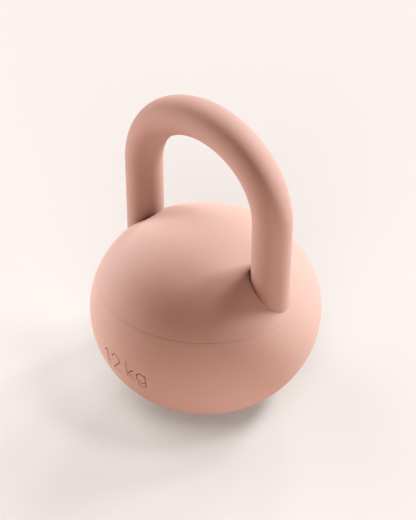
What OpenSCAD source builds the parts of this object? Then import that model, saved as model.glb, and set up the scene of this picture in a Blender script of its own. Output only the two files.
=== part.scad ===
// Silicone-covered kettlebell: a cast-iron core and a bolted-in steel handle,
// under two body covers that meet in a seam, with a sleeve on the handle and a pad
// underneath. Millimetres, +Z up, the two legs on the X axis, the origin on the
// surface that the pad stands on.

/* [Body] */
// Width of the body at its widest, over the covers
body_d = 160; // [132:1:200]
// Height of the domed top above the widest line
dome_h = 68; // [56:0.5:90]
// Depth that the rounded bowl would reach below the widest line if it had no foot
bowl_h = 72; // [60:0.5:90]
// Diameter of the flat foot
foot_d = 72; // [60:1:90]

/* [Covers] */
// Thickness of the silicone over the core
skin_t = 2.5; // [2:0.25:4]
// Distance of the seam below the lowest point at which a leg meets the core
seam_drop = 0.8; // [0.4:0.1:6]
// Open width of the seam
seam_gap = 0.3; // [0.1:0.05:0.6]
// Thickness of the upper cover's tongue where it tucks under the lower cover's lip
tongue_t = 1.2; // [0.8:0.1:1.4]
// Height of the tongue below the seam
tongue_h = 4; // [2:0.5:6]

/* [Handle] */
// Diameter of the grip, over its sleeve
grip_d = 26; // [23:0.5:34]
// Diameter of the steel bar inside the sleeve
bar_d = 20; // [16:0.5:22]
// Distance of each leg's axis inside the widest line
leg_inset = 22.5; // [20:0.5:30]
// Height above the widest line at which the straight legs turn into the arch
spring_rise = 94; // [75:0.5:120]
// Drop of the arch's crown below a true half circle
arch_drop = 4.9; // [2:0.1:8]
// Angle turned by each corner of the arch before the flatter crown begins
arch_turn = 58; // [45:1:70]

/* [Core] */
// Depth of the sleeve's seat below the core's surface at the leg's outer side
seat_depth = 6; // [3:0.5:10]
// Iron between the end of the bar and the bolt's washer
web_t = 12; // [8:0.5:16]
// Width of the face left around the pocket that brings the core to its marked weight
pad_seat = 4; // [3:0.5:12]
// Depth of that pocket
pocket_depth = 63.5; // [15:0.5:70]
// Chamfer at the mouth of the pocket and of each socket
mouth_chamfer = 1; // [0.5:0.1:2]

/* [Fixings] */
// Thread diameter of the two bolts that hold the handle
bolt_d = 10; // [8:1:12]
// Length of each bolt under its head
bolt_l = 30; // [25:1:35]
// Diameter of the bolt's head
head_d = 16; // [13:0.5:18]
// Height of the bolt's head
head_h = 10; // [8:0.5:12]
// Width across the flats of the hexagon socket
key_w = 8; // [5:1:10]
// Depth of the hexagon socket
key_depth = 5; // [3:0.5:6]
// Chamfer round the bolt's head and tip
bolt_bevel = 1; // [0.5:0.1:1.5]
// Diameter of the spring washer
washer_d = 18; // [15:0.5:20]
// Thickness of the spring washer
washer_t = 2.5; // [1.5:0.1:3]
// Width of the split in the spring washer
split_w = 1.6; // [1:0.1:2.5]
// Angle at which the split slants from upright
split_slant = 35; // [0:1:45]
// Thread left below the bolt's end in the bar
tap_spare = 5; // [3:0.5:8]

/* [Base pad] */
// Width of the lower cover's flat rim around the pad
foot_rim = 6; // [4:0.5:8]
// How far the pad stands out of the foot
pad_proud = 1.2; // [0.5:0.1:2.5]
// Height of the spigot that plugs the pocket
spigot_h = 8; // [4:0.5:12]
// Number of round grooves under the pad
groove_n = 4; // [2:1:5]
// Width of each groove
groove_w = 1.6; // [1:0.1:2]
// Depth of each groove
groove_depth = 0.8; // [0.4:0.1:1.5]

/* [Fits] */
// Radial gap between the bar and its socket
socket_gap = 0.1; // [0.05:0.05:0.3]
// Radial gap around the sleeve, in the upper cover and in the core
sleeve_gap = 0.2; // [0.1:0.05:0.5]
// Radial gap around the bolt's shank and around its washer
bolt_gap = 0.5; // [0.3:0.1:1]
// Iron left below the bolt's head at the edge of its counterbore
head_cover = 1.5; // [1:0.1:3]
// Radial gap around the pad and its spigot
pad_gap = 0.15; // [0.1:0.05:0.4]

/* [Hidden] */
$fn = 96;
over = 1; // how far a cut runs on past the surface it opens
silicone = "#e2a994";
lap = 0.5; // degrees that a corner of the handle runs on into its neighbours
lap_step = 0.05; // how far it is reduced there, so that no two surfaces coincide
quarter_steps = 30; // facets along a quarter of the body's outline
drill_point = 59; // half angle of a drill's point

body_r = body_d / 2;
leg_x = body_r - leg_inset;
cut_h = bowl_h * sqrt(1 - pow(foot_d / body_d, 2)); // foot below the widest line
mid_z = cut_h + pad_proud; // the widest line
spring_z = mid_z + spring_rise;
core_foot_z = mid_z - cut_h + skin_t;

// Two corner arcs and a crown arc that meet in a common tangent
corner_x = arch_drop / (1 - (1 - sin(arch_turn)) / cos(arch_turn));
corner_r = leg_x - corner_x;
crown_r = corner_r + corner_x / cos(arch_turn);
crown_z = spring_z - corner_x * tan(arch_turn);

// Radii of the holes that take the handle
sleeve_hole_r = grip_d / 2 + sleeve_gap;
socket_r = bar_d / 2 + socket_gap;
counterbore_r = washer_d / 2 + bolt_gap;
socket_chamfer = min(mouth_chamfer, (grip_d - bar_d) / 6); // most of the sleeve's end stays seated

// Heights along a leg: the core's surface at the leg's outer side sets the seam and
// the sleeve's seat, and its surface under the leg sets the bolt's counterbore
entry_z = mid_z + dome_z(leg_x + sleeve_hole_r, skin_t);
seam_z = entry_z - seam_drop;
seat_z = entry_z - seat_depth;
washer_top_z = mid_z - bowl_z(leg_x + counterbore_r, skin_t)
    + head_cover + head_h + washer_t;
bar_end_z = washer_top_z + web_t;
tap_depth = bolt_l - washer_t - web_t + tap_spare;

pad_r = foot_d / 2 - foot_rim;
pocket_r = pad_r - pad_seat;
tongue_inset = skin_t - tongue_t;

// Height of the body's outline, inset by t, above the widest line at radius r
function dome_z(r, t) = (dome_h - t) * sqrt(1 - pow(r / (body_r - t), 2));

// Depth of the body's outline, inset by t, below the widest line at radius r
function bowl_z(r, t) = (bowl_h - t) * sqrt(1 - pow(r / (body_r - t), 2));

// Half outline of the body, inset by t: two quarter ellipses and a flat foot
function outline(t) =
    let (r = body_r - t, end = asin((cut_h - t) / (bowl_h - t)))
    concat(
        [[0, mid_z - cut_h + t]],
        [for (i = [quarter_steps:-1:1])
            let (a = -end * i / quarter_steps) [r * cos(a), mid_z + (bowl_h - t) * sin(a)]],
        [for (i = [0:quarter_steps - 1])
            let (a = 90 * i / quarter_steps) [r * cos(a), mid_z + (dome_h - t) * sin(a)]],
        [[0, mid_z + dome_h - t]]
    );

// Everything between two heights, as a half section
module band(low, high) {
    translate([0, low]) square([2 * body_r, high - low]);
}

// The silicone between two insets of the outline, as a half section
module layer(outer_t, inner_t) {
    difference() {
        polygon(outline(outer_t));
        polygon(outline(inner_t));
    }
}

// Its children at both legs
module at_legs(z) {
    for (side = [-1, 1]) translate([side * leg_x, 0, z]) children();
}

// Round bar of radius r up one leg from foot_z, over the arch and down the other leg
module handle_run(r, foot_z) {
    at_legs(foot_z) cylinder(r = r, h = spring_z - foot_z);
    for (turn = [0, 180]) rotate(turn) translate([corner_x, 0, spring_z])
        rotate([90, 0, 0]) rotate(-lap) rotate_extrude(angle = arch_turn + 2 * lap)
            translate([corner_r, 0]) circle(r = r - lap_step);
    translate([0, 0, crown_z]) rotate([90, 0, 0]) rotate(arch_turn)
        rotate_extrude(angle = 180 - 2 * arch_turn) translate([crown_r, 0]) circle(r = r);
}

// Ring that cuts a chamfer of width c round the lower end of a bar of radius r
module end_bevel(r, c) {
    rotate_extrude()
        polygon([[r - c - over, -over], [r + over, -over], [r + over, c + over]]);
}

// Upright holes through which the sleeved legs enter the body
module leg_holes() {
    at_legs(seat_z) cylinder(r = sleeve_hole_r, h = mid_z + dome_h - seat_z + over);
}

// Solid cast-iron weight with a stepped socket for each leg
module core_casting() {
    color("#4a4744") difference() {
        rotate_extrude() polygon(outline(skin_t));
        leg_holes();
        at_legs(bar_end_z) cylinder(r = socket_r, h = seat_z - bar_end_z + over);
        at_legs(seat_z - socket_chamfer)
            cylinder(r1 = socket_r, r2 = socket_r + socket_chamfer, h = socket_chamfer);
        at_legs(0) cylinder(r = bolt_d / 2 + bolt_gap, h = bar_end_z + over);
        at_legs(0) cylinder(r = counterbore_r, h = washer_top_z);
        translate([0, 0, core_foot_z - over]) {
            cylinder(r = pocket_r, h = pocket_depth + over);
            cylinder(r1 = pocket_r + mouth_chamfer + over, r2 = pocket_r, h = mouth_chamfer + over);
        }
    }
}

// Round steel bar bent to the arch, with a drilled and tapped hole up each end
module handle_bar() {
    color("#b9bcc0") difference() {
        handle_run(bar_d / 2, bar_end_z);
        at_legs(bar_end_z) end_bevel(bar_d / 2, mouth_chamfer);
        at_legs(bar_end_z - over) cylinder(d = bolt_d, h = tap_depth + over);
        at_legs(bar_end_z + tap_depth)
            cylinder(r1 = bolt_d / 2, r2 = 0, h = bolt_d / 2 / tan(drill_point));
    }
}

// Silicone sleeve over the bar, down to its seats in the core
module handle_sleeve() {
    color(silicone) difference() {
        handle_run(grip_d / 2, seat_z);
        handle_run(bar_d / 2, seat_z - over);
    }
}

// Domed silicone cover down to the seam, with a tongue that tucks under the lip
module upper_cover() {
    color(silicone) difference() {
        rotate_extrude() union() {
            intersection() {
                layer(0, skin_t);
                band(seam_z, mid_z + dome_h + over);
            }
            intersection() {
                layer(tongue_inset, skin_t);
                band(seam_z - tongue_h, seam_z + over);
            }
        }
        leg_holes();
    }
}

// Silicone bowl up to the seam, with a lip over the tongue and a rim around the pad
module lower_cover() {
    color(silicone) rotate_extrude() {
        difference() {
            intersection() {
                layer(0, skin_t);
                band(0, seam_z - seam_gap);
            }
            intersection() {
                polygon(outline(tongue_inset));
                band(seam_z - tongue_h - seam_gap, seam_z);
            }
            square([pad_r, core_foot_z]);
        }
    }
}

// Silicone pad that the body stands on, with a spigot up the pocket
module base_pad() {
    groove_pitch = (pad_r - pad_gap) / (groove_n + 1);
    color("#d79d88") difference() {
        union() {
            cylinder(r = pad_r - pad_gap, h = core_foot_z);
            cylinder(r = pocket_r - pad_gap, h = core_foot_z + spigot_h);
        }
        for (i = [1:groove_n]) translate([0, 0, -over]) difference() {
            cylinder(r = i * groove_pitch + groove_w / 2, h = groove_depth + over);
            cylinder(r = i * groove_pitch - groove_w / 2, h = groove_depth + over);
        }
    }
}

// Cap screw with its head down, the face under its head at height 0
module cap_screw() {
    straight = bolt_l - bolt_bevel;
    difference() {
        union() {
            cylinder(d = bolt_d, h = straight);
            translate([0, 0, straight])
                cylinder(d1 = bolt_d, d2 = bolt_d - 2 * bolt_bevel, h = bolt_bevel);
            translate([0, 0, bolt_bevel - head_h]) cylinder(d = head_d, h = head_h - bolt_bevel);
            translate([0, 0, -head_h])
                cylinder(d1 = head_d - 2 * bolt_bevel, d2 = head_d, h = bolt_bevel);
        }
        translate([0, 0, -head_h - over])
            cylinder(d = key_w / cos(30), h = key_depth + over, $fn = 6);
    }
}

// Two cap screws, up through the core into the ends of the bar
module handle_bolts() {
    color("#2b2b2d") at_legs(washer_top_z - washer_t) cap_screw();
}

// Two split spring washers, between the core and the heads of the cap screws
module spring_washers() {
    color("#9a9ca0") at_legs(washer_top_z - washer_t) difference() {
        cylinder(d = washer_d, h = washer_t);
        translate([0, 0, -over]) cylinder(r = bolt_d / 2 + bolt_gap, h = washer_t + 2 * over);
        rotate([split_slant, 0, 0]) translate([0, -split_w / 2, -washer_d])
            cube([washer_d, split_w, 2 * washer_d]);
    }
}

core_casting();
handle_bar();
handle_sleeve();
upper_cover();
lower_cover();
base_pad();
handle_bolts();
spring_washers();
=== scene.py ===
# %% [markdown]
# # A silicone-covered kettlebell
# The weight is a cast-iron casting with a bent steel bar bolted into it. All that a hand meets
# is blush silicone: a domed cover and a bowl cover that meet in a seam, a sleeve over the bar,
# and a pad underneath. The solid model comes in as it is and is never moved. The four silicone
# pieces could be shown as that model has them, but its edges are knife sharp, and silicone that
# came out of a mould has soft ones, so they are made again here as finer surfaces.

# %% Load the solid model
import math

import bmesh
import bpy
import numpy as np
from mathutils import Matrix, Vector


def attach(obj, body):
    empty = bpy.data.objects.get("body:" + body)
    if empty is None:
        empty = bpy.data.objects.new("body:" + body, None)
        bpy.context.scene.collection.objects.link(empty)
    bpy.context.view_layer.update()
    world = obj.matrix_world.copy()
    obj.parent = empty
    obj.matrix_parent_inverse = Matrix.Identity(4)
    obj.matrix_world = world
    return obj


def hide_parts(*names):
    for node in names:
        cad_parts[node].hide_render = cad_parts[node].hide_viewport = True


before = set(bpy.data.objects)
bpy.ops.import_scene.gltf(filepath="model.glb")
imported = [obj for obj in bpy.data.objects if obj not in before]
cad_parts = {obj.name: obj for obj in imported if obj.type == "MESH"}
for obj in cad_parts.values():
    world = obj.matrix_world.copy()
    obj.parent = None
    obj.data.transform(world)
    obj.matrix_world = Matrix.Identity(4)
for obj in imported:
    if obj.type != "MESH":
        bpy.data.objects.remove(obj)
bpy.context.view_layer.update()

# %% [markdown]
# ## Reading the sizes off the solid model
# Every size below could be typed in again, but then the two models could drift apart. The
# corners of each solid already hold them: the widest ring of the bowl gives the body's radius
# and the height of its widest line, and the outermost corners of a leg give where it stands.

# %% Measure the body
MM = 0.001


def corners(node):
    """All corners of one solid as rows of x, y, z in metres."""
    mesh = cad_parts[node].data
    flat = np.empty(3 * len(mesh.vertices), np.float32)
    mesh.vertices.foreach_get("co", flat)
    return flat.reshape(-1, 3).astype(float)


def radius(points):
    """Distance of each point from the upright axis through the origin."""
    return np.hypot(points[:, 0], points[:, 1])


bowl = corners("lower_cover")
dome = corners("upper_cover")
hair = 0.01 * MM  # corners this near each other are at the same height
near = 0.1 * MM  # and corners this near the dome's own curve are on its outside

body_r = radius(bowl).max()
mid_z = bowl[radius(bowl).argmax(), 2]
foot_z = bowl[:, 2].min()
foot_ring = radius(bowl[bowl[:, 2] < foot_z + hair])
foot_r, pad_hole_r = foot_ring.max(), foot_ring.min()
bowl_h = (mid_z - foot_z) / math.sqrt(1 - (foot_r / body_r) ** 2)
solid_lip_z = bowl[:, 2].max()

dome_h = dome[:, 2].max() - mid_z
dome_skin = body_r * np.sqrt(1 - ((dome[:, 2] - mid_z) / dome_h) ** 2)
seam_z = dome[radius(dome) > dome_skin - near, 2].min()
tongue_z = dome[:, 2].min()
skin_t = body_r - radius(corners("core_casting")).max()
core_foot_z = corners("core_casting")[:, 2].min()
print(f"body radius {body_r / MM:.2f} mm, widest at {mid_z / MM:.2f} mm high")
print(f"seam at {seam_z / MM:.2f} mm, covers {skin_t / MM:.2f} mm thick")

# %% [markdown]
# The handle's centreline is two straight legs, two tight corner arcs and a flatter crown arc
# between them. The solid gives where the legs stand and how high the crown is. The corners meet
# the crown without a kink, and that fixes the radii of both arcs once their turn is known.

# %% Measure the handle
ARCH_TURN = math.radians(58)  # what each corner of the arch turns before the flatter crown

sleeve = corners("handle_sleeve")
grip_r = sleeve[:, 1].max()
bar_r = corners("handle_bar")[:, 1].max()
leg_x = sleeve[:, 0].max() - grip_r
seat_z = sleeve[:, 2].min()
spring_z = sleeve[sleeve[:, 0] > leg_x + grip_r - hair, 2].max()
HUG = 0.04 * MM  # the holes in the dome close up on the sleeve but for this
hole_r = grip_r + HUG

crown_rise = sleeve[:, 2].max() - grip_r - spring_z
corner_x = (leg_x - crown_rise) / (1 - (1 - math.sin(ARCH_TURN)) / math.cos(ARCH_TURN))
corner_r = leg_x - corner_x
crown_r = corner_r + corner_x / math.cos(ARCH_TURN)
crown_z = spring_z - corner_x * math.tan(ARCH_TURN)
print(f"grip radius {grip_r / MM:.2f} mm, legs {leg_x / MM:.2f} mm out from the middle")
print(f"arch radii {corner_r / MM:.2f} mm and {crown_r / MM:.2f} mm")

# %% [markdown]
# ## Putting a grid of points into a mesh
# A surface that is worked out as a function of two parameters comes as a table of points. One
# helper turns such a table into four-sided faces, and another puts points and faces into a
# mesh, closes the seams where the first and last rows fall on each other, and rides it on the
# part. Doing this once keeps each piece below to its own formula.


# %% Grid helpers
TOUCHING = 0.002 * MM  # points nearer than this are the same point
SHARP = math.radians(40)  # an edge that turns more than this keeps its crease


def grid_faces(rows, columns, close_rows=False):
    """Quads between neighbouring rows and columns. The columns always close into a ring,
    and the rows do too if asked."""
    r = np.arange(rows if close_rows else rows - 1)[:, None]
    c = np.arange(columns)[None, :]
    below, above = r * columns, (r + 1) % rows * columns
    right = (c + 1) % columns
    quads = np.stack([below + c, below + right, above + right, above + c], axis=-1)
    return quads.reshape(-1, 4)


def make_piece(name, points, faces, replaced, notes=None):
    """A closed, smooth-shaded mesh object that rides on the part and stands for one solid.
    Notes are named numbers for every point, which a finish can read."""
    mesh = bpy.data.meshes.new(name)
    mesh.from_pydata(points.reshape(-1, 3).tolist(), [], faces.tolist())
    for note, values in (notes or {}).items():
        mesh.attributes.new(note, "FLOAT", "POINT").data.foreach_set("value", values.ravel())
    piece = bpy.data.objects.new(name, mesh)
    bpy.context.scene.collection.objects.link(piece)
    close_up(mesh)
    mesh.polygons.foreach_set("use_smooth", np.ones(len(mesh.polygons), bool))
    mesh.set_sharp_from_angle(angle=SHARP)
    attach(piece, "root")
    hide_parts(replaced)
    print(name, len(mesh.vertices), "points,", len(mesh.polygons), "faces")
    return piece


def close_up(mesh):
    """Merges points that fall on each other, and turns all faces outwards."""
    work = bmesh.new()
    work.from_mesh(mesh)
    bmesh.ops.remove_doubles(work, verts=work.verts, dist=TOUCHING)
    bmesh.ops.dissolve_degenerate(work, edges=work.edges, dist=TOUCHING / 4)
    bmesh.ops.recalc_face_normals(work, faces=work.faces)
    work.to_mesh(mesh)
    work.free()


print("a tube of 3 rings with 8 points each has", len(grid_faces(3, 8)), "faces")

# %% [markdown]
# ## Soft corners on an outline
# Most of these pieces are an outline turned about an axis or carried along a path. An outline
# is written as stretches that meet in corners. A knife edge never catches the light, so each
# corner is swapped for a short curve: it starts a little way back on one stretch, ends a little
# way on along the next, and bends towards the corner between them.


# %% Outline helpers
def along(points, stations):
    """Points at given distances along a line of points."""
    steps = np.linalg.norm(np.diff(points, axis=0), axis=1)
    distance = np.concatenate([[0], np.cumsum(steps)])
    return np.stack([np.interp(stations, distance, points[:, k]) for k in range(2)], axis=1)


def length(points):
    """How long a line of points is."""
    return np.linalg.norm(np.diff(points, axis=0), axis=1).sum()


def bend(start, corner, end, steps):
    """Points on the curve (1-t)(1-t) start + 2t(1-t) corner + t t end, both ends left out."""
    t = np.linspace(0, 1, steps + 2)[1:-1, None]
    return (1 - t) ** 2 * start + 2 * t * (1 - t) * corner + t**2 * end


def outline(stretches, closed, bend_steps=4):
    """One line of points from stretches that meet in corners. Each stretch is its points, the
    distance between the points wanted on it, and how far back its end corner is rounded."""
    rows = []
    count = len(stretches)
    for k, (points, spacing, soft_end) in enumerate(stretches):
        soft_start = stretches[k - 1][2] if closed or k else 0
        total = length(points)
        stop = total - soft_end
        pieces = max(1, round((stop - soft_start) / spacing))
        rows.append(along(points, np.linspace(soft_start, stop, pieces + 1)))
        if soft_end:
            following, _, next_soft = stretches[(k + 1) % count]
            landing = along(following, np.array([soft_end]))[0]
            rows.append(bend(rows[-1][-1], points[-1], landing, bend_steps))
    return np.concatenate(rows)


def line(*points):
    """A straight-sided stretch through the given points."""
    return np.array(points, float)


square = line((0, 0), (1, 0), (1, 1), (0, 1), (0, 0))
print("the way round a unit square is", length(square))

# %% [markdown]
# ## The shape that all the covers follow
# The body is two half ellipsoids on one widest ring, a lower one for the top and a deeper one
# for the bowl, cut off flat at the foot. The inside of a cover is the same shape with all three
# half-widths shortened by the silicone's thickness.


# %% The body's ellipses
def height_at(r, inset=0.0):
    """Height of the domed top at distance r from the axis, on the surface inset by that much."""
    share = np.clip(1 - (r / (body_r - inset)) ** 2, 0, None)
    return mid_z + (dome_h - inset) * np.sqrt(share)


def radius_at(z, inset=0.0):
    """Distance of the body's surface from the axis at height z."""
    half = np.where(z > mid_z, dome_h, bowl_h) - inset
    return (body_r - inset) * np.sqrt(np.clip(1 - ((z - mid_z) / half) ** 2, 0, None))


def meridian(low, high, inset=0.0, count=1500):
    """A stretch of the body's side, from one height to another, as r and z."""
    turn_low = np.arcsin((low - mid_z) / ((dome_h if low > mid_z else bowl_h) - inset))
    turn_high = np.arcsin((high - mid_z) / ((dome_h if high > mid_z else bowl_h) - inset))
    turn = np.linspace(turn_low, turn_high, count)
    half = np.where(turn > 0, dome_h, bowl_h) - inset
    return np.stack([(body_r - inset) * np.cos(turn), mid_z + half * np.sin(turn)], axis=1)


def turned(profile, azimuths):
    """An outline of r and z turned about the upright axis: x = r cos a, y = r sin a."""
    r, z = profile[:, 0, None], profile[:, 1, None]
    return np.stack([r * np.cos(azimuths), r * np.sin(azimuths), z + 0 * azimuths], axis=-1)


print(f"at the seam the body is {radius_at(seam_z) / MM:.2f} mm out from the axis")
print(f"over a leg's middle the dome is {height_at(leg_x) / MM:.2f} mm high")

# %% [markdown]
# ## The moulded weight mark
# Low on the front, between the legs, the bowl carries a mark pressed into the silicone with a
# thin round-nosed line. Here it is only the weight, 12 kg. A picture of the letters would need
# an image, and a cut with a solid tool would leave torn faces, so the letters are strokes in a
# plane, straight lines and arcs, and the surface sinks by how near each point is to a stroke.

# %% The strokes of the mark
MARK_TURN = math.radians(-90)  # which way round the body the mark is
MARK_LOW = -14.5 * MM  # its baseline, from the body's widest line
LETTER_H = 13.5 * MM
SMALL_H = 8.6 * MM
TAIL = 4.0 * MM  # how far the g hangs below the baseline
MARK_HALF = 20.2 * MM  # half of its width


def arc(x, y, rx, ry, start, end, count=24):
    """A stroke along an ellipse about x, y, between two angles in degrees."""
    turn = np.radians(np.linspace(start, end, count))
    return np.stack([x + rx * np.cos(turn), y + ry * np.sin(turn)], axis=1)


def mark_strokes():
    """The strokes of 1, 2, k and g, in metres, with the baseline at height 0 and the middle of
    the mark at 0 across. Each is a line of points."""
    h, s = LETTER_H, SMALL_H
    one, two, kay, gee = -16.4 * MM, -11.0 * MM, 3.0 * MM, 11.2 * MM
    wide, ring = 7.4 * MM, 7.2 * MM
    top = wide / 2
    return [
        line((one - 2.6 * MM, h - 2.4 * MM), (one, h), (one, 0)),
        np.concatenate([
            arc(two + top, h - top, top, top, 165, -35),
            line((two, 0), (two + wide, 0)),
        ]),
        line((kay, h), (kay, 0)),
        line((kay + 5.4 * MM, s), (kay, 0.38 * s)),
        line((kay + 1.7 * MM, 0.57 * s), (kay + 5.8 * MM, 0)),
        arc(gee + ring / 2, s / 2, ring / 2, s / 2, 0, 360, 40),
        np.concatenate([
            line((gee + ring, s), (gee + ring, 0)),
            arc(gee + ring / 2, 0, ring / 2, TAIL, 0, -150),
        ]),
    ]


print(len(mark_strokes()), "strokes in the mark")

# %% [markdown]
# A point sinks by its distance from the nearest stroke, so a stroke's ends come out round and
# two strokes run into each other without a seam.

# %% How deep the mark is
LINE_HALF = 0.65 * MM
LINE_DEPTH = 0.7 * MM


def distance_to_strokes(across, up):
    """Distance of each point of a plane from the nearest stroke: for every straight piece, the
    point is dropped onto it, held between its ends, and measured."""
    nearest = np.full(across.shape, np.inf)
    for points in mark_strokes():
        for (ax, ay), (bx, by) in zip(points[:-1], points[1:]):
            dx, dy = bx - ax, by - ay
            reach = (across - ax) * dx + (up - ay) * dy
            share = np.clip(reach / max(dx * dx + dy * dy, 1e-12), 0, 1)
            nearest = np.minimum(nearest, np.hypot(across - ax - share * dx, up - ay - share * dy))
    return nearest


def sunk(distance):
    """How deep the line is at a distance from its middle: a smooth round-bottomed channel."""
    t = np.clip(1 - distance / LINE_HALF, 0, 1)
    return LINE_DEPTH * t * t * (3 - 2 * t)


print(f"in the middle of a line the mark is {sunk(np.zeros(1))[0] / MM:.2f} mm deep")

# %% [markdown]
# ## The bowl cover
# The lower cover wraps from the flat foot, over the widest line, up to the seam. Its top edge
# is a lip that laps over the upper cover's tongue, and its foot has a rim round the pad. It is
# one closed outline turned about the axis. The rows and columns of the grid are close together
# only where the mark is, which keeps the mark crisp and the rest light.

# %% The bowl's outline
TONGUE_T = 1.2 * MM
EDGE = 0.4 * MM  # how far back a moulded edge is rounded
SEAM_EDGE = 0.14 * MM  # the seam's two edges are nearly sharp
SEAM_OPEN = 0.07 * MM  # soft covers push together until the seam is only a hairline
FOOT_EDGE = 1.6 * MM
FINE = 0.18 * MM  # from point to point at the mark
COARSE = 2.6 * MM  # and everywhere else
MARGIN = 1.5 * MM  # fine grid beyond the mark on all sides

tongue_inset = skin_t - TONGUE_T
rabbet_z = tongue_z - (seam_z - solid_lip_z)
lip_z = seam_z - SEAM_OPEN
mark_bottom = mid_z + MARK_LOW - TAIL - MARGIN
mark_top = mid_z + MARK_LOW + LETTER_H + MARGIN


def bowl_outline():
    """The lower cover's closed outline, counter-clockwise from the pad hole's bottom edge."""
    lip_inner = radius_at(lip_z, tongue_inset)
    return outline(
        [
            (line((pad_hole_r, foot_z), (foot_r, foot_z)), 2 * MM, FOOT_EDGE),
            (meridian(foot_z, mark_bottom), COARSE, 0),
            (meridian(mark_bottom, mark_top), FINE, 0),
            (meridian(mark_top, lip_z), 2 * MM, SEAM_EDGE),
            (line((radius_at(lip_z), lip_z), (lip_inner, lip_z)), EDGE, EDGE / 2),
            (meridian(lip_z, rabbet_z, tongue_inset), 2 * MM, EDGE / 4),
            (line((radius_at(rabbet_z, tongue_inset), rabbet_z),
                  (radius_at(rabbet_z, skin_t), rabbet_z)), 1 * MM, EDGE / 4),
            (meridian(rabbet_z, core_foot_z, skin_t), 5 * MM, EDGE),
            (line((radius_at(core_foot_z, skin_t), core_foot_z),
                  (pad_hole_r, core_foot_z)), 3 * MM, EDGE),
            (line((pad_hole_r, core_foot_z), (pad_hole_r, foot_z)), 1 * MM, EDGE),
        ],
        closed=True,
    )


print(len(bowl_outline()), "points in the bowl's outline")

# %% [markdown]
# Turning the outline gives the grid. The mark is pressed in afterwards, by moving the points of
# the outer surface. How far each one moved is kept as a note on it, and the finish darkens the
# line by that much: painted shade, standing in for the shade that falls in the groove.


# %% Bowl cover
def bowl_azimuths():
    """Directions round the body, close together over the mark's width."""
    fine_half = MARK_HALF + MARGIN
    half_turn = fine_half / body_r
    fine = np.linspace(-half_turn, half_turn, round(2 * fine_half / FINE) + 1)
    rest = 2 * math.pi - 2 * half_turn
    coarse = half_turn + np.linspace(0, rest, round(rest * body_r / COARSE) + 1)[1:-1]
    return MARK_TURN + np.concatenate([fine, coarse])


def press_mark(points, azimuths):
    """Sinks the outer surface along its own normal where a stroke of the mark runs."""
    across = body_r * (azimuths - MARK_TURN)[None, :] + 0 * points[..., 2]
    up = points[..., 2] - mid_z - MARK_LOW
    depth = sunk(distance_to_strokes(across, up))
    outside = np.hypot(points[..., 0], points[..., 1]) > radius_at(points[..., 2], skin_t / 2)
    normal = np.stack([
        points[..., 0] / body_r**2,
        points[..., 1] / body_r**2,
        (points[..., 2] - mid_z) / np.where(points[..., 2] > mid_z, dome_h, bowl_h) ** 2,
    ], axis=-1)
    normal /= np.linalg.norm(normal, axis=-1, keepdims=True)
    return points - (depth * outside)[..., None] * normal, depth * outside / LINE_DEPTH


azimuths = bowl_azimuths()
bowl_points, pressed = press_mark(turned(bowl_outline(), azimuths), azimuths)
bowl_faces = grid_faces(*bowl_points.shape[:2], close_rows=True)
bowl_cover = make_piece(
    "bowl_cover", bowl_points, bowl_faces, "lower_cover", {"pressed": pressed}
)

# %% [markdown]
# ## The dome cover
# The upper cover is a dome with two holes for the legs. Cutting holes in a turned dome would
# leave ragged rings of thin faces just where the eye looks, at the dark line round each leg.
# Instead, each half of the dome is a fan of lines from the hole's edge out to the rim and to
# the middle of the dome. So the hole's rolled edge is a row of the grid, and the two halves are
# mirror images that meet down the middle.

# %% The fan round a leg
HOLE_EDGE = 0.25 * MM  # how far back the hole's edge rolls
RIM_COUNT = 132  # points round half the rim
MIDDLE_COUNT = 108  # points down the middle


def half_border(rim_r):
    """Points round half a disc of the given radius: the rim from one side to the other, then
    back down the straight middle."""
    turn = np.linspace(-math.pi / 2, math.pi / 2, RIM_COUNT + 1)
    rim = rim_r * np.stack([np.cos(turn), np.sin(turn)], axis=1)
    y = rim_r * np.linspace(1, -1, MIDDLE_COUNT + 1)[1:-1]
    return np.concatenate([rim, np.stack([0 * y, y], axis=1)])


def hole_circle(r, border):
    """For each point of the border, the point of a circle about the leg that faces it."""
    out = border - np.array([leg_x, 0])
    return np.array([leg_x, 0]) + r * out / np.linalg.norm(out, axis=1, keepdims=True)


def fan(rim_r, inner_r, inset, shares):
    """Rows of points from the rim in to a circle about the leg, on the inset surface: between
    border and circle the flat position is a straight mix, and the height is the dome's."""
    facing = hole_circle(inner_r, half_border(seam_r))
    flat = (1 - shares[:, None, None]) * half_border(rim_r) + shares[:, None, None] * facing
    z = height_at(np.linalg.norm(flat, axis=-1), inset)
    return np.concatenate([flat, z[..., None]], axis=-1)


def graded(count, power):
    """Shares from 0 to 1 that get closer together towards 1."""
    return 1 - (1 - np.linspace(0, 1, count)) ** power


print(2 * len(half_border(body_r)), "points run out from the two holes")

# %% [markdown]
# One half is a sheet that starts at the rim, runs in over the outside, rolls over the hole's
# edge, goes down its wall and runs back out over the inside.


# %% Half a dome
def half_dome():
    """All rows of one half: in over the outer surface, round the hole's edge, down its wall,
    round its inner edge and back out over the inner surface."""
    outer = fan(rim_start_r, hole_r + HOLE_EDGE, 0, graded(46, 1.5))
    at_hole = hole_circle(hole_r, half_border(seam_r))
    corner_z = height_at(np.linalg.norm(at_hole, axis=1))
    inner_z = height_at(np.linalg.norm(at_hole, axis=1), skin_t)
    corner = np.concatenate([at_hole, corner_z[:, None]], axis=1)
    wall_top = corner - [0, 0, HOLE_EDGE]
    wall_foot = np.concatenate([at_hole, inner_z[:, None]], axis=1)
    t = np.linspace(0, 1, 9)[1:, None, None]
    roll = (1 - t) ** 2 * outer[-1] + 2 * t * (1 - t) * corner + t**2 * wall_top
    wall = np.linspace(0, 1, 4)[1:-1, None, None]
    wall = (1 - wall) * wall_top + wall * wall_foot
    inner = fan(tongue_in_r, hole_r, skin_t, graded(18, 1.3))[::-1]
    return np.concatenate([outer, roll, wall, inner])


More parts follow.
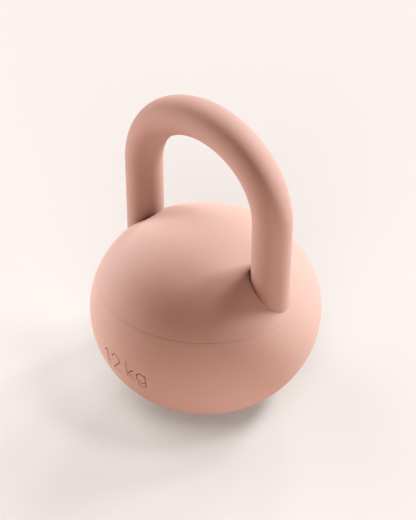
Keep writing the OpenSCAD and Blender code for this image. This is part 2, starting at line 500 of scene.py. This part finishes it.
seam_r = radius_at(seam_z)
tongue_in_r = radius_at(tongue_z, skin_t)
rim_start_z = seam_z + 2 * EDGE
rim_start_r = radius_at(rim_start_z)
half = half_dome()
print("half a dome is", half.shape[0], "rows of", half.shape[1], "points")

# %% [markdown]
# The rim is the same all the way round, so it is a turned piece. It joins the outside of the
# two halves to their inside, and closes the cover.


# %% Rim and dome cover
def rim_outline():
    """From the outer surface round the seam's edge, in along the ledge, down the tongue and
    round its foot to the inner surface, as r and z."""
    ledge_in = radius_at(seam_z, tongue_inset)
    foot_out = radius_at(tongue_z, tongue_inset)
    return outline(
        [
            (meridian(rim_start_z, seam_z), EDGE, SEAM_EDGE),
            (line((seam_r, seam_z), (ledge_in, seam_z)), EDGE, EDGE / 4),
            (meridian(seam_z, tongue_z, tongue_inset), 1 * MM, EDGE / 2),
            (line((foot_out, tongue_z), (tongue_in_r, tongue_z)), EDGE, 0),
        ],
        closed=False,
    )


half_faces = grid_faces(*half.shape[:2])
other = half * [-1, 1, 1]
rim_turns = np.linspace(-math.pi / 2, 3 * math.pi / 2, 2 * RIM_COUNT + 1)[:-1]
rim = turned(rim_outline(), rim_turns)
rim_faces = grid_faces(*rim.shape[:2])
count = half.shape[0] * half.shape[1]
dome_points = np.concatenate([half.reshape(-1, 3), other.reshape(-1, 3), rim.reshape(-1, 3)])
dome_faces = np.concatenate([half_faces, half_faces[:, ::-1] + count, rim_faces + 2 * count])
dome_cover = make_piece("dome_cover", dome_points, dome_faces, "upper_cover")

# %% [markdown]
# ## The handle's sleeve
# The sleeve is one soft tube from inside one socket, up a leg, over the arch and down the other
# leg. The handle's centreline is exact: a straight leg, a tight corner arc, a flatter crown
# arc, and the same again. The outside is a circle carried along that line, and the bore is a
# smaller circle carried back, so that the grid closes on itself and the sleeve has no open end.

# %% Handle sleeve
SLEEVE_SPACING = 1.9 * MM
ROUND_COUNT = 72
END_EDGE = 0.8 * MM

leg_length = spring_z - seat_z
corner_length = corner_r * ARCH_TURN
crown_length = crown_r * (math.pi - 2 * ARCH_TURN)
handle_length = 2 * leg_length + 2 * corner_length + crown_length


def handle_line(s):
    """Place and heading of the centreline at distance s from the end of one leg. The heading
    starts straight up and turns at 1/radius on each arc. The second half mirrors the first."""
    back = s > handle_length / 2
    d = np.where(back, handle_length - s, s)
    on_corner = np.clip((d - leg_length) / corner_r, 0, ARCH_TURN)
    on_crown = np.clip((d - leg_length - corner_length) / crown_r, 0, None)
    turn = on_corner + on_crown
    crown = d > leg_length + corner_length
    x = np.where(crown, crown_r * np.cos(turn), corner_x + corner_r * np.cos(on_corner))
    z = np.where(crown, crown_z + crown_r * np.sin(turn), spring_z + corner_r * np.sin(on_corner))
    z = z - np.clip(leg_length - d, 0, None)
    side = np.where(back, -1.0, 1.0)
    outward = np.stack([side * np.cos(turn), 0 * turn, np.sin(turn)], axis=1)
    return np.stack([side * x, 0 * x, z], axis=1), outward


def carried(s, r):
    """A circle of radius r carried along the handle: centre + r (cos a outward + sin a Y)."""
    centre, outward = handle_line(s)
    turn = np.linspace(0, 2 * math.pi, ROUND_COUNT, endpoint=False)[None, :, None]
    ring = np.cos(turn) * outward[:, None, :] + np.sin(turn) * np.array([0.0, 1.0, 0.0])
    return centre[:, None, :] + r[:, None, None] * ring


def sleeve_outline():
    """The sleeve's wall as a closed outline of distance along the handle and radius."""
    end = handle_length
    return outline(
        [
            (line((0, grip_r), (end, grip_r)), SLEEVE_SPACING, END_EDGE),
            (line((end, grip_r), (end, bar_r)), 1 * MM, END_EDGE / 2),
            (line((end, bar_r), (0, bar_r)), 2 * SLEEVE_SPACING, END_EDGE / 2),
            (line((0, bar_r), (0, grip_r)), 1 * MM, END_EDGE),
        ],
        closed=True,
    )


wall = sleeve_outline()
sleeve_points = carried(wall[:, 0], wall[:, 1])
sleeve_faces = grid_faces(*sleeve_points.shape[:2], close_rows=True)
grip_sleeve = make_piece("grip_sleeve", sleeve_points, sleeve_faces, "handle_sleeve")

# %% [markdown]
# ## The base pad
# The pad is a turned piece too: a disc with round grooves underneath that keep it from sliding,
# and a spigot that plugs the pocket in the casting. It stands slightly out of the foot, so the
# bell rests on it alone.

# %% Base pad
PAD_COUNT = 160
GROOVES = 4
GROOVE_HALF = 0.8 * MM
GROOVE_DEPTH = 0.8 * MM

pad = corners("base_pad")
pad_r = radius(pad).max()
spigot_z = pad[:, 2].max()
spigot_r = radius(pad[pad[:, 2] > spigot_z - hair]).max()


def pad_outline():
    """From the middle of the underside out to the rim, up, in and up the spigot to the middle
    of its top, as r and z. Each groove is a square-bottomed dip with rounded corners."""
    pitch = pad_r / (GROOVES + 1)
    stretches = []
    reached = 0.0
    for k in range(1, GROOVES + 1):
        near, far = k * pitch - GROOVE_HALF, k * pitch + GROOVE_HALF
        stretches += [
            (line((reached, 0), (near, 0)), 1.5 * MM, EDGE / 2),
            (line((near, 0), (near, GROOVE_DEPTH)), EDGE, EDGE / 2),
            (line((near, GROOVE_DEPTH), (far, GROOVE_DEPTH)), EDGE, EDGE / 2),
            (line((far, GROOVE_DEPTH), (far, 0)), EDGE, EDGE / 2),
        ]
        reached = far
    stretches += [
        (line((reached, 0), (pad_r, 0)), 1.5 * MM, EDGE),
        (line((pad_r, 0), (pad_r, core_foot_z)), 1 * MM, EDGE),
        (line((pad_r, core_foot_z), (spigot_r, core_foot_z)), 1.5 * MM, EDGE),
        (line((spigot_r, core_foot_z), (spigot_r, spigot_z)), 2 * MM, 2 * EDGE),
        (line((spigot_r, spigot_z), (0, spigot_z)), 3 * MM, 0),
    ]
    return outline(stretches, closed=False, bend_steps=3)


pad_turns = np.linspace(0, 2 * math.pi, PAD_COUNT, endpoint=False)
pad_points = turned(pad_outline(), pad_turns)
pad_faces = grid_faces(*pad_points.shape[:2])
foot_pad = make_piece("foot_pad", pad_points, pad_faces, "base_pad")

# %% [markdown]
# ## Writing shader maths as sums
# A procedural finish is a graph of small nodes, and graphs are slow to read in code. A small
# class wraps a node's output, so that `0.5 + 0.1 * noise` adds the Math nodes by itself.
# Colours go through Mix nodes instead, because a Math node would turn them grey.


# %% A socket that does sums
class Value:
    """An output of a node, with sums that add Math nodes to its tree."""

    def __init__(self, finish, socket):
        self.finish = finish
        self.socket = socket

    def sum(self, operation, *operands):
        return self.finish.node(
            "ShaderNodeMath", {"operation": operation}, dict(enumerate(operands))
        )

    def __add__(self, other):
        return self.sum("ADD", self, other)

    def __sub__(self, other):
        return self.sum("SUBTRACT", self, other)

    def __mul__(self, other):
        return self.sum("MULTIPLY", self, other)

    def __truediv__(self, other):
        return self.sum("DIVIDE", self, other)

    def __pow__(self, other):
        return self.sum("POWER", self, other)

    def __radd__(self, other):
        return self.sum("ADD", other, self)

    def __rsub__(self, other):
        return self.sum("SUBTRACT", other, self)

    def __rmul__(self, other):
        return self.sum("MULTIPLY", other, self)

    def __rtruediv__(self, other):
        return self.sum("DIVIDE", other, self)


print("sums:", [name for name in vars(Value) if name.startswith("__r")], "read the other way round")

# %% [markdown]
# The material itself is the second small class. One method adds any node, and a few more give
# the nodes that most finishes want: noise, a soft step, a mix of colours and a bump. What is
# the same all over a surface is set straight on the shader, and only what varies is linked.


# %% A material under construction
class Finish:
    """A material under construction: its nodes come from one method, and its fixed values are
    set on the shader itself."""

    def __init__(self, name, fixed=None):
        self.material = bpy.data.materials.new(name)
        self.material.use_nodes = True
        self.tree = self.material.node_tree
        self.shader = self.tree.nodes["Principled BSDF"]
        for socket, value in (fixed or {}).items():
            self.shader.inputs[socket].default_value = value
        self.place = self.node("ShaderNodeTexCoord", {}, {}, "Object")

    def node(self, kind, settings, inputs, output=0):
        """Adds a node, sets its settings, then its sockets, and gives one of its outputs."""
        made = self.tree.nodes.new(kind)
        for key, value in settings.items():
            setattr(made, key, value)
        for key, value in inputs.items():
            self.put(made.inputs[key], value)
        return Value(self, made.outputs[output])

    def put(self, socket, value):
        """Links an output to a socket, or sets a plain number or colour on it."""
        if isinstance(value, Value):
            self.tree.links.new(value.socket, socket)
        else:
            socket.default_value = value

    def noise(self, size, detail=2.0, roughness=0.5, place=None):
        """Cloudy noise from 0 to 1 whose clouds are about the given size across, in metres."""
        return self.node(
            "ShaderNodeTexNoise",
            {"noise_dimensions": "3D"},
            {
                "Vector": place or self.place,
                "Scale": 1 / size,
                "Detail": detail,
                "Roughness": roughness,
            },
        )

    def step(self, value, low, high):
        """0 below low, 1 above high, and smooth between."""
        return self.node(
            "ShaderNodeMapRange",
            {"interpolation_type": "SMOOTHSTEP"},
            {"Value": value, "From Min": low, "From Max": high},
        )

    def mix(self, share, first, second):
        """A colour between two colours."""
        return self.node(
            "ShaderNodeMix",
            {"data_type": "RGBA"},
            {"Factor": share, 6: first, 7: second},
            2,
        )

    def bump(self, height, depth, under=None):
        """A normal that leans with a height from 0 to 1 that stands for the given depth, on top
        of the bump under it, if any."""
        inputs = {"Height": height, "Strength": 1.0, "Distance": depth}
        if under is not None:
            inputs["Normal"] = under
        return self.node("ShaderNodeBump", {}, inputs)

    def finish(self, color, roughness, normal=None, metallic=None):
        """Feeds what varies over the surface to the shader."""
        self.put(self.shader.inputs["Base Color"], color)
        self.put(self.shader.inputs["Roughness"], roughness)
        if normal is not None:
            self.put(self.shader.inputs["Normal"], normal)
        if metallic is not None:
            self.put(self.shader.inputs["Metallic"], metallic)
        return self.material


print("a finish starts from one shader, and has", [n for n in vars(Finish) if n[0] != "_"])

# %% [markdown]
# ## The silicone
# Soft-touch silicone has no gloss to speak of. A fine dry grain scatters the light, the edges
# take on a pale bloom where the grain is seen along the surface, and the pigment is very
# slightly cloudy. So the base colour wanders by a percent or two, the grain is a bump a few
# hundredths of a millimetre deep, and the bloom is the shader's own sheen.
#
# Two such faces that light each other turn redder with every bounce, and the real bell shows
# hardly any of that glow. So light that has bounced already meets a greyer colour. What is seen
# directly keeps its true one, from wherever it is looked at.

# %% Silicone finishes
BLUSH_DEEP = (0.575, 0.321, 0.267, 1.0)
BLUSH_PALE = (0.605, 0.345, 0.289, 1.0)
PAD_DEEP = (0.52, 0.29, 0.235, 1.0)
PAD_PALE = (0.56, 0.32, 0.26, 1.0)
# SHADE is painted shade: the colour that the pressed mark's lines darken towards, deepest at their
# bottom.
SHADE = (0.30, 0.150, 0.118, 1.0)  # at the bottom of the pressed mark
BOUNCE = (0.37, 0.34, 0.325, 1.0)  # what light that glances off the silicone takes with it
WHITE_BLOOM = (1.0, 1.0, 1.0, 1.0)


def silicone(name, deep, pale, bloom, roughness):
    """Matte silicone: cloudy pigment, two sizes of grain, and a soft bloom at the edges."""
    made = Finish(name, {
        "Specular IOR Level": 0.1,
        "IOR": 1.41,
        "Sheen Weight": 0.05,
        "Sheen Roughness": 0.4,
        "Sheen Tint": bloom,
    })
    cloud = made.noise(38 * MM, 3.0)
    speckle = made.noise(1.1 * MM, 2.0)
    color = made.mix(0.75 * cloud + 0.25 * speckle, deep, pale)
    # Painted shade: the mark's lines darken by how deep each point was pressed, in place of the
    # shade in the groove.
    pressed = made.node("ShaderNodeAttribute", {"attribute_name": "pressed"}, {}, "Fac")
    color = made.mix(0.6 * pressed, color, SHADE)
    bounced = made.node("ShaderNodeLightPath", {}, {}, "Is Diffuse Ray")
    color = made.mix(bounced, color, BOUNCE)
    grain = made.noise(0.35 * MM, 2.0, 0.6)
    orange_peel = made.noise(4.5 * MM, 1.0)
    fine = made.bump(grain, 0.015 * MM)
    broad = made.bump(orange_peel, 0.03 * MM, fine)
    rough = roughness - 0.04 + 0.08 * cloud + 0.03 * (grain - 0.5)
    return made.finish(color, rough, broad)


body_silicone = silicone("blush silicone", BLUSH_DEEP, BLUSH_PALE, BLUSH_PALE, 0.72)
pad_silicone = silicone("pad silicone", PAD_DEEP, PAD_PALE, WHITE_BLOOM, 0.78)
for piece in (bowl_cover, dome_cover, grip_sleeve):
    piece.data.materials.append(body_silicone)
foot_pad.data.materials.append(pad_silicone)
print("silicone on", [o.name for o in (bowl_cover, dome_cover, grip_sleeve, foot_pad)])

# %% [markdown]
# ## The iron and steel inside
# The casting, the bar, the screws and the washers keep their solid shapes. The casting has the
# pebbled skin of a sand mould, the bar the long faint lines of drawing, the screws a black
# oxide that is thin in patches, and the washers a dull zinc.


# %% Iron and bar
def dress(node, material):
    """Gives a solid of the frame its finish, in every slot it has."""
    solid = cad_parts[node]
    if not solid.material_slots:
        solid.data.materials.append(material)
    for held in solid.material_slots:
        held.material = material
    print(node, "wears", material.name)


def cast_iron():
    """Sand-cast iron: pebbled, dark, with lighter tops where it has rubbed."""
    made = Finish("cast iron", {"Specular IOR Level": 0.5})
    pebble = made.noise(1.6 * MM, 4.0, 0.6)
    swell = made.noise(14 * MM, 2.0)
    rubbed = made.step(pebble, 0.56, 0.72)
    color = made.mix(rubbed, (0.040, 0.037, 0.035, 1), (0.115, 0.110, 0.105, 1))
    normal = made.bump(0.7 * pebble + 0.3 * swell, 0.35 * MM)
    return made.finish(color, 0.74 - 0.2 * rubbed, normal, 0.25 + 0.5 * rubbed)


def drawn_steel():
    """Bright drawn bar: faint long lines and a few darker stains."""
    made = Finish("drawn steel")
    stretched = made.node(
        "ShaderNodeMapping", {}, {"Vector": made.place, "Scale": (1.0, 1.0, 0.04)}
    )
    lines = made.noise(0.4 * MM, 3.0, 0.6, stretched)
    stain = made.noise(22 * MM, 3.0)
    color = made.mix(stain, (0.50, 0.51, 0.53, 1), (0.62, 0.63, 0.64, 1))
    return made.finish(color, 0.26 + 0.16 * lines, made.bump(lines, 0.012 * MM), 1.0)


dress("core_casting", cast_iron())
dress("handle_bar", drawn_steel())


# %% Screws and washers
def black_oxide():
    """Blackened steel screws, a little brighter where the oxide is thin."""
    made = Finish("black oxide", {"Specular IOR Level": 0.5})
    thin = made.step(made.noise(2.4 * MM, 4.0, 0.65), 0.52, 0.7)
    color = made.mix(thin, (0.018, 0.018, 0.020, 1), (0.075, 0.072, 0.070, 1))
    grain = made.noise(0.5 * MM, 2.0)
    return made.finish(color, 0.46 - 0.12 * thin, made.bump(grain, 0.01 * MM), 0.6 + 0.3 * thin)


def zinc_plate():
    """Dull zinc on spring steel, with cloudy crystals."""
    made = Finish("zinc plate")
    crystal = made.noise(1.8 * MM, 2.0, 0.7)
    color = made.mix(crystal, (0.42, 0.43, 0.45, 1), (0.58, 0.59, 0.61, 1))
    return made.finish(color, 0.34 + 0.14 * crystal, made.bump(crystal, 0.02 * MM), 1.0)


dress("handle_bolts", black_oxide())
dress("spring_washers", zinc_plate())

# %% [markdown]
# ## The camera
# The bell is seen from above its right front, far enough away that its sides look nearly
# upright. The place is given as a direction and a distance from the middle of the body's widest
# line, and the aim as a small step to the right and a longer one up from there.

# %% Camera
AZIMUTH, ELEVATION, ROLL = 43.216, 37.889, 0.224  # degrees
DISTANCE = 0.97671
AIM_RIGHT, AIM_UP = 0.0015, 0.0310
LENS, SENSOR = 97.58, 36  # mm


def look(azimuth, elevation):
    """The directions back to the camera, to its right and up, for a level camera."""
    a, e = math.radians(azimuth), math.radians(elevation)
    back = Vector((math.sin(a) * math.cos(e), -math.cos(a) * math.cos(e), math.sin(e)))
    right = Vector((math.cos(a), math.sin(a), 0))
    return back, right, back.cross(right)


back, right, up = look(AZIMUTH, ELEVATION)
middle = Vector((0, 0, mid_z))
place = middle + DISTANCE * back
sight = (place - middle - AIM_RIGHT * right - AIM_UP * up).normalized()

camera = bpy.data.objects.new("camera", bpy.data.cameras.new("camera"))
camera.data.sensor_width = SENSOR
camera.data.lens = LENS
camera.data.clip_start, camera.data.clip_end = 0.05, 50
turn = sight.to_track_quat("Z", "Y").to_matrix() @ Matrix.Rotation(math.radians(ROLL), 3, "Z")
camera.matrix_world = Matrix.Translation(place) @ turn.to_4x4()
bpy.context.scene.collection.objects.link(camera)
bpy.context.scene.camera = camera
print("camera at", [round(c, 3) for c in place], "m")

# %% [markdown]
# ## The floor
# The floor is one plain pale square, so large that its edge is far out of the picture. It lies
# at height zero, where the pad stands.

# %% Floor
FLOOR_HALF = 12.0
FLOOR_COLOR = (0.638, 0.567, 0.535, 1)
FLOOR_ROUGHNESS = 0.9


def make_floor():
    """One large square at the height that the pad stands on."""
    mesh = bpy.data.meshes.new("floor")
    h = FLOOR_HALF
    mesh.from_pydata([(-h, -h, 0), (h, -h, 0), (h, h, 0), (-h, h, 0)], [], [(0, 1, 2, 3)])
    floor = bpy.data.objects.new("floor", mesh)
    bpy.context.scene.collection.objects.link(floor)
    paint = Finish("floor paint", {"Specular IOR Level": 0.0})
    mesh.materials.append(paint.finish(FLOOR_COLOR, FLOOR_ROUGHNESS))
    return floor


floor = make_floor()
print("floor", 2 * FLOOR_HALF, "m wide")

# %% [markdown]
# ## The light
# A studio lights a pale, soft thing with big soft lamps. All of these are suns with a wide
# angle: a sun doesn't fade with distance, so the floor stays even all the way out.
#
# Three lamps behind the bell on its right stand one above the other like a tall softbox, two
# low ones on its left draw the other side, and two weak ones fill in the front. The handle has
# a set of its own, because it stands free of the body and would look flat in the body's. If the
# same lamps lit the floor, the bell would stand in a heavy double shadow, so the floor gets a
# softer set that leaves one broad pale shadow, darkest under the bowl.

# %% The three sets of lamps
BODY_LAMPS = {
    # name: azimuth, elevation and softness in degrees, and strength
    "key_high": (180, 50, 12, 2.0),
    "key_middle": (160, 35, 12, 2.4),
    "key_low": (170, 20, 12, 2.2),
    "rim_left": (275, 8, 35, 4.8),
    "fill_left": (295, 8, 35, 1.2),
    "fill_right": (90, 12, 35, 0.5),
    "fill_front": (60, 10, 40, 0.8),
}
HANDLE_LAMPS = {
    "handle_key_high": (180, 50, 12, 2.5),
    "handle_key_low": (160, 35, 12, 3.0),
    "handle_left": (295, 8, 35, 3.1),
    "handle_right": (90, 12, 35, 0.9),
    "handle_front": (20, 10, 50, 0.1),
}
FLOOR_LAMPS = {
    "floor_right": (130, 60, 15, 0.9),
    "floor_behind": (165, 45, 12, 0.9),
    "floor_long": (190, 22, 12, 1.0),
    "floor_longest": (210, 22, 12, 1.1),
    "floor_front": (40, 20, 45, 3.3),
    "floor_front_high": (40, 66, 30, 1.0),
    "floor_left": (315, 50, 50, 0.6),
    "floor_left_far": (270, 45, 30, 0.6),
}


print(len(BODY_LAMPS), "lamps for the body,", len(HANDLE_LAMPS), "for the handle and",
      len(FLOOR_LAMPS), "for the floor")

# %% [markdown]
# Light linking lets a lamp reach only the things in one collection. Each set gets a collection,
# and everything still casts its shadow in all three.


# %% Lamps
def make_lamp(name, azimuth, elevation, softness, strength, lit):
    """A distant soft lamp that shines from a direction on one collection only."""
    back = look(azimuth, elevation)[0]
    lamp = bpy.data.lights.new(name, "SUN")
    lamp.angle = math.radians(softness)
    lamp.energy = strength
    holder = bpy.data.objects.new(name, lamp)
    holder.location = middle + 2 * back
    holder.rotation_mode = "QUATERNION"
    holder.rotation_quaternion = back.to_track_quat("Z", "Y")
    holder.light_linking.receiver_collection = lit
    bpy.context.scene.collection.objects.link(holder)


def lit_together(name, things):
    """A collection that lamps can be linked to."""
    group = bpy.data.collections.new(name)
    for thing in things:
        group.objects.link(thing)
    return group


body_things = [
    o for o in bpy.context.scene.objects if o.type == "MESH" and o not in (floor, grip_sleeve)
]
for lamps, group in (
    (BODY_LAMPS, lit_together("lit body", body_things)),
    (HANDLE_LAMPS, lit_together("lit handle", [grip_sleeve])),
    (FLOOR_LAMPS, lit_together("lit floor", [floor])),
):
    for name, setting in lamps.items():
        make_lamp(name, *setting, group)

# %% [markdown]
# ## What is past the floor
# A low camera looks over the far edge of the floor. The world behind it takes the floor's own
# colour, and only the camera sees it: it sends no light to the bell, so the shading is left as
# the lamps made it.

# %% Background
BEYOND = (1.0, 0.90, 0.845, 1)

world = bpy.data.worlds.new("studio")
bpy.context.scene.world = world
world.use_nodes = True
world.node_tree.nodes["Background"].inputs["Color"].default_value = BEYOND
for rays in ("diffuse", "glossy", "transmission", "scatter"):
    setattr(world.cycles_visibility, rays, False)
print("background", BEYOND[:3])

# %% [markdown]
# ## How bright light becomes colour
# Left alone, pale colours look thin and dark ones washed out. A gentle S in the tone curve does
# what printing on good paper does: it deepens the shade and rolls off the lights.

# %% Tone curve
# Each pair is how bright a tone comes in and how bright it goes out.
TONES = [(0.05, 0.03), (0.11, 0.084), (0.2, 0.202), (0.5, 0.548), (0.8, 0.81)]
WHITE = (1.0, 0.956)

view = bpy.context.scene.view_settings
view.view_transform = "Standard"
view.use_curve_mapping = True
curve = view.curve_mapping.curves[3]
curve.points[1].location = WHITE
for x, y in TONES:
    curve.points.new(x, y)
view.curve_mapping.update()
print("tone curve", [tuple(round(c, 3) for c in p.location) for p in curve.points])

# %% [markdown]
